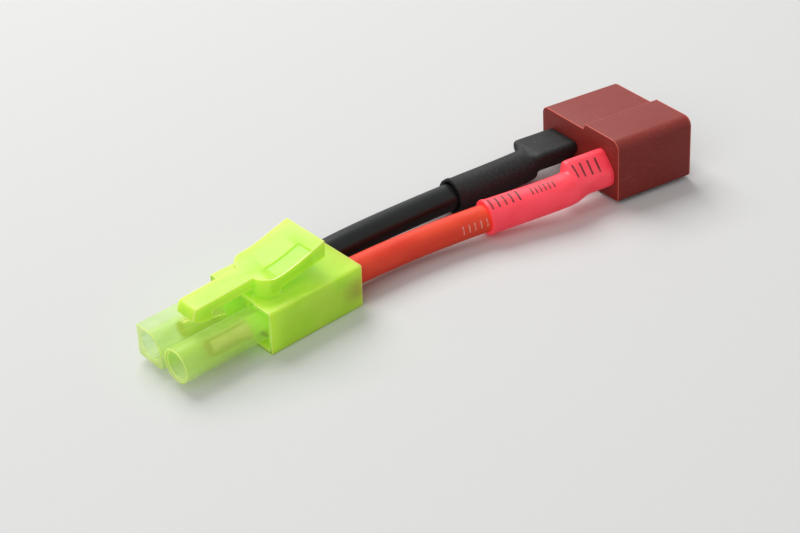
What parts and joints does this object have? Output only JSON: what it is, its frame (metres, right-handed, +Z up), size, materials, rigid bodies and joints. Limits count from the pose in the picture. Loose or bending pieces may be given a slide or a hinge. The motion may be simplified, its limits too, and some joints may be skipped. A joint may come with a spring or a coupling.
{
  "type": "battery connector adapter",
  "caption": "Short adapter lead from a small latched plug with socket contacts in two tubes to a T-shaped blade connector.",
  "frame": {"origin": "centre of the plug block's bottom face, the face that it rests on", "axes": "+X from the plug's tubes towards the blade connector, +Y to the negative lead's side, +Z up out of the latch"},
  "size_m": [0.0758, 0.0193, 0.0098],
  "materials": {
    "lime_nylon": "translucent moulded nylon, satin",
    "contact_brass": "stamped strip, dull",
    "red_insulation": "smooth silicone rubber",
    "copper_strands": "fine tinned copper strands",
    "black_insulation": "smooth silicone rubber",
    "red_sleeve": "shrunk polyolefin, slightly glossy",
    "black_sleeve": "shrunk polyolefin, matt",
    "brick_red_nylon": "moulded glass-filled nylon, matt",
    "terminal_brass": "plated strip, satin",
    "spring_steel": "rolled spring strip",
    "solder": "flowed solder, satin"
  },
  "bodies": {
    "root": {"plug_housing": "lime_nylon", "positive_socket_contact": "contact_brass", "negative_socket_contact": "contact_brass", "red_wire_insulation": "red_insulation", "red_wire_strands": "copper_strands", "black_wire_insulation": "black_insulation", "black_wire_strands": "copper_strands", "red_heat_shrink": "red_sleeve", "black_heat_shrink": "black_sleeve", "blade_housing": "brick_red_nylon", "positive_blade_terminal": "terminal_brass", "negative_blade_terminal": "terminal_brass", "positive_leaf_spring": "spring_steel", "negative_leaf_spring": "spring_steel", "positive_solder_joint": "solder", "negative_solder_joint": "solder"}
  },
  "joints": []
}
